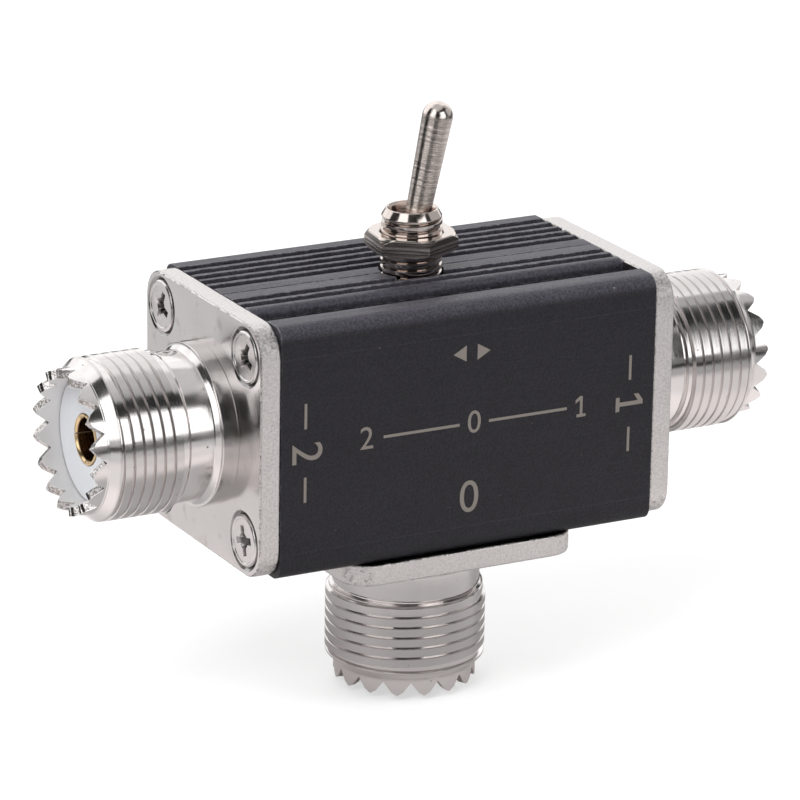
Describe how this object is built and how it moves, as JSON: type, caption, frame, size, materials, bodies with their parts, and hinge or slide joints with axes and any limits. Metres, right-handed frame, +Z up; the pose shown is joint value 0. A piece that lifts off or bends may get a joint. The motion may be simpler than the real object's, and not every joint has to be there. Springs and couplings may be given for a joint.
{
  "type": "coaxial antenna switch",
  "caption": "Small metal box with a threaded coaxial socket at each end and one underneath, and a toggle on top that joins the lower socket to either end socket.",
  "frame": {"origin": "under the middle of the case, level with the crown tips of the lower socket", "axes": "+X along the case to port 1, -Y toward the marked front, +Z up toward the lever"},
  "size_m": [0.074, 0.025, 0.0581],
  "materials": {
    "anodised_case": "black anodised, fine blasted satin",
    "nickel_socket": "bright nickel plate over brass, turned and tumbled",
    "white_insulator": "white moulded insulator",
    "gilt_contact": "thin gold plate",
    "screw_steel": "nickel plated steel",
    "nickel_bushing": "nickel plate over brass, turned",
    "sheet_steel": "plain sheet steel",
    "moulded_base": "moulded phenolic",
    "nickel_lever": "nickel plate over brass, fine turning marks",
    "nylon": "natural nylon",
    "spring_steel": "spring wire",
    "contact_alloy": "contact alloy, stamped",
    "tinned_terminal": "tinned brass, stamped",
    "copper_wire": "bare copper wire"
  },
  "bodies": {
    "case": {"front_shell": "anodised_case", "rear_shell": "anodised_case", "port_1_socket": "nickel_socket", "port_2_socket": "nickel_socket", "common_socket": "nickel_socket", "port_1_insulator": "white_insulator", "port_2_insulator": "white_insulator", "common_insulator": "white_insulator", "port_1_contact": "gilt_contact", "port_2_contact": "gilt_contact", "common_contact": "gilt_contact", "port_1_screws": "screw_steel", "port_2_screws": "screw_steel", "common_screws": "screw_steel", "pivot_pin": "screw_steel", "switch_bushing": "nickel_bushing", "switch_nut": "nickel_bushing", "lock_washer": "sheet_steel", "switch_frame": "sheet_steel", "switch_base": "moulded_base", "terminal_1": "tinned_terminal", "terminal_2": "tinned_terminal", "terminal_common": "tinned_terminal", "wire_1": "copper_wire", "wire_2": "copper_wire", "wire_common": "copper_wire"},
    "lever": {"toggle_lever": "nickel_lever", "plunger": "nylon", "plunger_spring": "spring_steel"},
    "rocker": {"rocker_contact": "contact_alloy"}
  },
  "joints": [
    {"name": "lever_swing", "type": "hinge", "parent": "case", "child": "lever", "pos_m": [0, 0, 0.044], "axis": [0, 1, 0], "range_deg": [-23.4, 0]},
    {"name": "rocker_tilt", "type": "hinge", "parent": "case", "child": "rocker", "pos_m": [0, 0, 0.03323], "axis": [0, 1, 0], "range_deg": [0, 16]}
  ],
  "couplings": [
    {"joint": "rocker_tilt", "follows": "lever_swing", "ratio": -0.6837}
  ]
}
